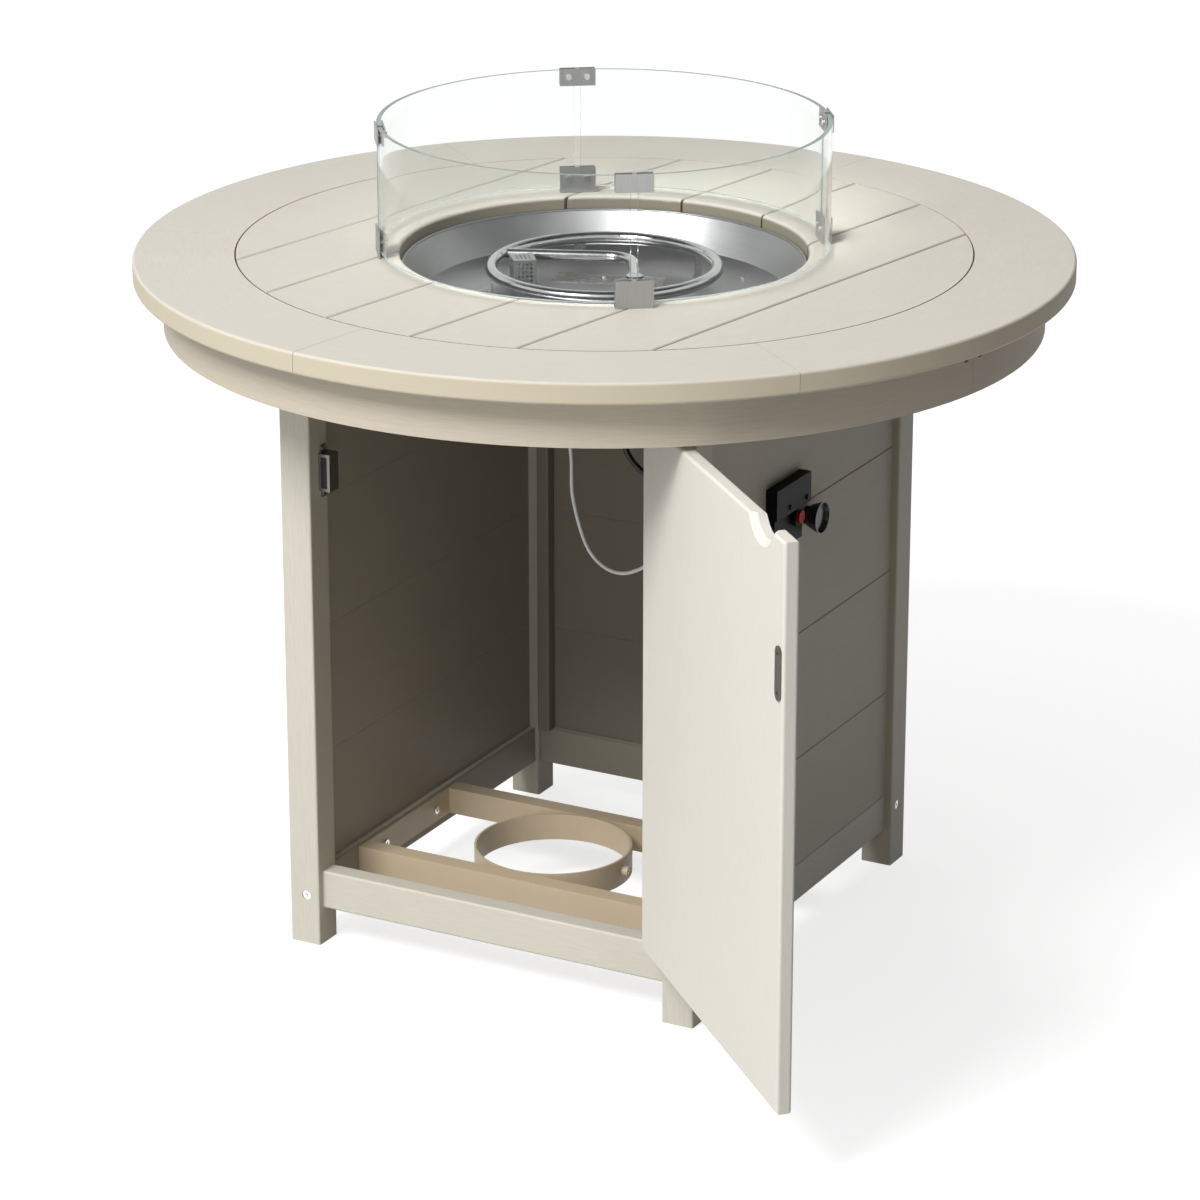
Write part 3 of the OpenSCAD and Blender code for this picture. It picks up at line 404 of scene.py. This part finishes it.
def clear_glass(name):
    """Faces that look along the circle of panes, up or down are the cut edges."""
    graph = Material(name, IOR=GLASS_BEND)
    x, y, _ = graph.add("SeparateXYZ", {0: graph.place()}).outputs
    flat = graph.add("CombineXYZ", {X: x, Y: y}).outputs[0]
    facing = graph.dot(graph.vector("NORMALIZE", flat), graph.normal())
    edge = graph.math("SUBTRACT", 1.0, graph.math("ABSOLUTE", facing))
    edge = graph.ranged(edge, *EDGE_SPAN)
    graph.set("Base Color", graph.mix(edge, GLASS_FACE, GLASS_EDGE))
    graph.set("Transmission Weight", graph.ranged(edge, 0.0, 1.0, 1.0, EDGE_CLEARNESS))
    haze = graph.noise(graph.place(), GLASS_HAZE, detail=2.0)
    graph.set("Roughness", graph.ranged(haze, *NARROW_SPAN, 0.0, HAZE_ROUGHNESS))
    shadow = graph.add("LightPath").outputs["Is Shadow Ray"]
    open_shader = graph.add("BsdfTransparent", {"Color": GLASS_FACE})
    mixed = graph.add("MixShader", {0: shadow, 1: graph.shader.outputs[0],
                                    2: open_shader.outputs[0]})
    graph.feed(graph.tree.nodes["Material Output"].inputs["Surface"], mixed.outputs[0])
    return graph.material


def dress(material, *nodes):
    for node in nodes:
        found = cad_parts[node]
        found.data.materials.clear()
        found.data.materials.append(material)


# Lumber of the top

TOP_TONE = "#c9c4b9"
# Painted shade: the apron is the top's lumber, toned darker for the shade under the top's
# overhang
APRON_SHADED_TONE = "#c1b7a6"
RIM_GRAIN_RADIUS = 0.54
APRON_GRAIN_RADIUS = 0.57
PLANKS = ["plank_%d" % k for k in range(1, 8)]


def dress_top():
    # Painted shade on the upright faces of the planks and the rim
    dress(lumber("top_planks", TOP_TONE, Y, TOP_TURN, painted_upright_shade=0.38), *PLANKS)
    dress(lumber("top_rim", TOP_TONE, X, TOP_TURN, radius=RIM_GRAIN_RADIUS, painted_upright_shade=0.88),
          "rim_segments")
    dress(lumber("apron_lumber", APRON_SHADED_TONE, X, TOP_TURN, radius=APRON_GRAIN_RADIUS),
          "apron_segments")


# Lumber of the cabinet and the door: faces inside the cabinet are darker, as painted shade

BASE_TONE = "#c9c5b8"
DOOR_TONE = "#d7d3c9"
# Painted shade: the boards are the posts' lumber, toned darker for the shade under the top's
# overhang
BOARD_SHADED_TONE = "#bab4a6"
# Painted shade: darker tones for the faces inside the cabinet
POST_INNER_SHADE = "#b4ae9e"
SIDE_INNER_SHADE = "#9c9586"
REAR_INNER_SHADE = "#857f71"
POSTS = ["post_front_left", "post_front_right", "post_rear_left", "post_rear_right"]
CROSS_RAILS = ["rail_front_lower", "rail_rear_lower", "rail_front_upper", "rail_rear_upper"]
SIDE_RAILS = ["rail_left_lower", "rail_right_lower", "rail_left_upper", "rail_right_upper"]


def dress_cabinet():
    dress(lumber("post_lumber", BASE_TONE, Z, inner_shade=POST_INNER_SHADE), *POSTS)
    dress(lumber("cross_lumber", BASE_TONE, X, inner_shade=SIDE_INNER_SHADE), *CROSS_RAILS, "deck_battens")
    dress(lumber("side_lumber", BASE_TONE, Y, inner_shade=SIDE_INNER_SHADE), *SIDE_RAILS, "apron_blocks")
    dress(lumber("side_boards", BOARD_SHADED_TONE, Y, inner_shade=SIDE_INNER_SHADE), "boards_left", "boards_right")
    dress(lumber("rear_boards", BOARD_SHADED_TONE, X, inner_shade=REAR_INNER_SHADE), "boards_rear",
          "corner_battens")
    dress(lumber("door_lumber", DOOR_TONE, Z, contrast=0.5), "door")


# Screws, hinges, catch and tank holder

SCREW_BRUSH = (600, 600, 600)
FITTING_BRUSH = (500, 500, 60)


def dress_fittings():
    dress(powder_coat("tan_coat", "#c8b69a"), "tank_frame", "tank_ring")
    dress(steel("screw_steel", "#ececea", 0.18, SCREW_BRUSH, relief=0.1), "post_screws",
          "frame_screws", "pan_bolts", "guard_screws", "tank_set_screw")
    dress(steel("dark_steel", "#55504a", 0.35, SCREW_BRUSH, relief=0.1), "apron_screws")
    dress(steel("bright_steel", "#cfcfcd", 0.16, FITTING_BRUSH), "door_hinge_leaves",
          "post_hinge_leaves", "hinge_pins")
    dress(steel("catch_steel", "#8d8d8b", 0.36, FITTING_BRUSH), "catch_bracket")
    dress(steel("strike_steel", "#6b6661", 0.3, FITTING_BRUSH), "strike_plate")
    dress(plastic("magnet_black", "#141414", 0.5, relief=0.3), "catch_magnet")


# Burner

PAN_BRUSH = (5, 2200, 2200)
PAN_BRUSH_RADIUS = 0.2
RING_BRUSH = (30, 700, 700)
RING_BRUSH_RADIUS = 0.15
FEED_BRUSH = (60, 500, 500)
SHEET_BRUSH = (25, 700, 700)
ZINC_GRAIN = (120, 120, 120)


def dress_burner():
    dress(steel("pan_steel", "#a5a5a6", 0.33, PAN_BRUSH, relief=0.05, radius=PAN_BRUSH_RADIUS,
                anisotropic=0.7), "burner_pan")
    dress(steel("tube_steel", "#bdbdbd", 0.17, RING_BRUSH, radius=RING_BRUSH_RADIUS),
          "burner_ring")
    dress(steel("feed_steel", "#c0c0c0", 0.2, FEED_BRUSH), "feed_tube")
    dress(steel("sheet_steel", "#b5b5b4", 0.26, SHEET_BRUSH, relief=0.25), "pan_cover_plate",
          "burner_legs", "gas_inlet")
    dress(steel("zinc_steel", "#8a8a8a", 0.45, ZINC_GRAIN, relief=0.2), "pan_support_ring")
    dress(plastic("glazed", "#e6e2d6", 0.2), "igniter_electrode")


# Wind guard, and the igniter cage, which is of the same sheet as its clips

CLIP_BRUSH = (900, 900, 30)


def dress_guard():
    dress(clear_glass("clear_glass"), "glass_panels")
    dress(steel("clip_steel", "#aeafae", 0.44, CLIP_BRUSH, relief=0.35), "guard_clips",
          "igniter_cage")


# Controls

BRASS_GRAIN = (400, 400, 400)


def dress_controls():
    dress(steel("dull_brass", "#4b4336", 0.4, BRASS_GRAIN), "gas_valve")
    dress(plastic("black_plastic", "#101112", 0.5, relief=0.3, shine=0.1), "control_box",
          "control_base")
    dress(plastic("red_plastic", "#b00c0e", 0.4, shine=0.1), "igniter_button")
    dress(plastic("smoke_plastic", "#26272a", 0.22, shine=0.4), "gas_knob")


# Floor: pale, and lit from within where it is seen, so that it shows nearly white

FLOOR_SIZE = 14
FLOOR_SHINE = 0.1
FLOOR_GRAIN = 60
FLOOR_DARK = srgb("#adadad")
FLOOR_PALE = srgb("#b3b3b3")
FLOOR_ROUGHNESS = (0.85, 0.95)
FLOOR_LIGHT = 0.74


def make_floor():
    bpy.ops.mesh.primitive_plane_add(size=FLOOR_SIZE)
    floor = bpy.context.object
    floor.name = "floor"
    graph = Material("floor", Specular_IOR_Level=FLOOR_SHINE)
    grain = graph.noise(graph.place(), FLOOR_GRAIN)
    graph.set("Base Color", graph.mix(grain, FLOOR_DARK, FLOOR_PALE))
    graph.set("Roughness", graph.ranged(grain, *NARROW_SPAN, *FLOOR_ROUGHNESS))
    ray = graph.add("LightPath").outputs
    mirrored = graph.math("MAXIMUM", ray["Is Glossy Ray"], ray["Is Transmission Ray"])
    seen = graph.math("MAXIMUM", ray["Is Camera Ray"], mirrored)
    graph.set("Emission Color", WHITE)
    graph.set("Emission Strength", graph.math("MULTIPLY", seen, FLOOR_LIGHT))
    floor.data.materials.append(graph.material)


# Sky: its light comes from the upper left of the door side

SKY_DARK = 0.02
SKY_BRIGHT = 0.9
SKY_SPAN = (0.15, 0.9)
GLOSS_DARK = 0.08
GLOSS_SPAN = (0.35, 0.95)
BRIGHT_WAY = Vector((-0.35, -0.35, 0.87))
VIEW_WAY = Vector((math.sin(CAMERA_AZIMUTH), -math.cos(CAMERA_AZIMUTH), 0))


def make_world():
    """White where it is seen. Metal mirrors a room that is dark at its two sides."""
    world = bpy.data.worlds.new("studio")
    world.use_nodes = True
    nodes = Nodes(world.node_tree)
    way = nodes.add("TexCoord").outputs["Generated"]
    light = nodes.ranged(nodes.dot(way, BRIGHT_WAY), *SKY_SPAN, SKY_DARK, SKY_BRIGHT)
    ahead = nodes.math("ABSOLUTE", nodes.dot(way, VIEW_WAY))
    gloss = nodes.ranged(ahead, *GLOSS_SPAN, GLOSS_DARK, 1.0)
    ray = nodes.add("LightPath").outputs
    seen = nodes.math("MAXIMUM", ray["Is Camera Ray"], ray["Is Transmission Ray"])
    light = nodes.mix(ray["Is Glossy Ray"], light, gloss, "FLOAT")
    light = nodes.mix(seen, light, 1.0, "FLOAT")
    background = nodes.tree.nodes["Background"]
    nodes.feed(background.inputs["Color"], WHITE)
    nodes.feed(background.inputs["Strength"], light)
    bpy.context.scene.world = world


# Lamps: a large soft one above the door side, and a weak one low in front of it

def make_lamp(name, place, aim, size, power):
    data = bpy.data.lights.new(name, "AREA")
    data.shape = "SQUARE"
    data.size = size
    data.energy = power
    lamp = bpy.data.objects.new(name, data)
    lamp.location = place
    lamp.rotation_euler = (Vector(place) - Vector(aim)).to_track_quat("Z", "Y").to_euler()
    bpy.context.scene.collection.objects.link(lamp)


def make_lamps():
    make_lamp("key", place=(-0.9, -5.0, 5.6), aim=(0, 0, 0.5), size=2.4, power=425)
    make_lamp("front", place=(0.3, -6.4, 1.1), aim=(0.1, 0, 0.4), size=1.8, power=40)


make_camera()
make_cord("igniter_wire_sleeve", WIRE_ROUTE, WIRE_DIAMETER, "igniter_wire",
          plastic("white_sleeve", "#f2f2f0", 0.4))
make_cord("gas_hose_rubber", HOSE_ROUTE, HOSE_DIAMETER, "gas_hose",
          plastic("black_rubber", "#161616", 0.45, relief=0.2))
dress_top()
dress_cabinet()
dress_fittings()
dress_burner()
dress_guard()
dress_controls()
make_floor()
make_world()
make_lamps()
bpy.context.scene.view_settings.view_transform = "Standard"
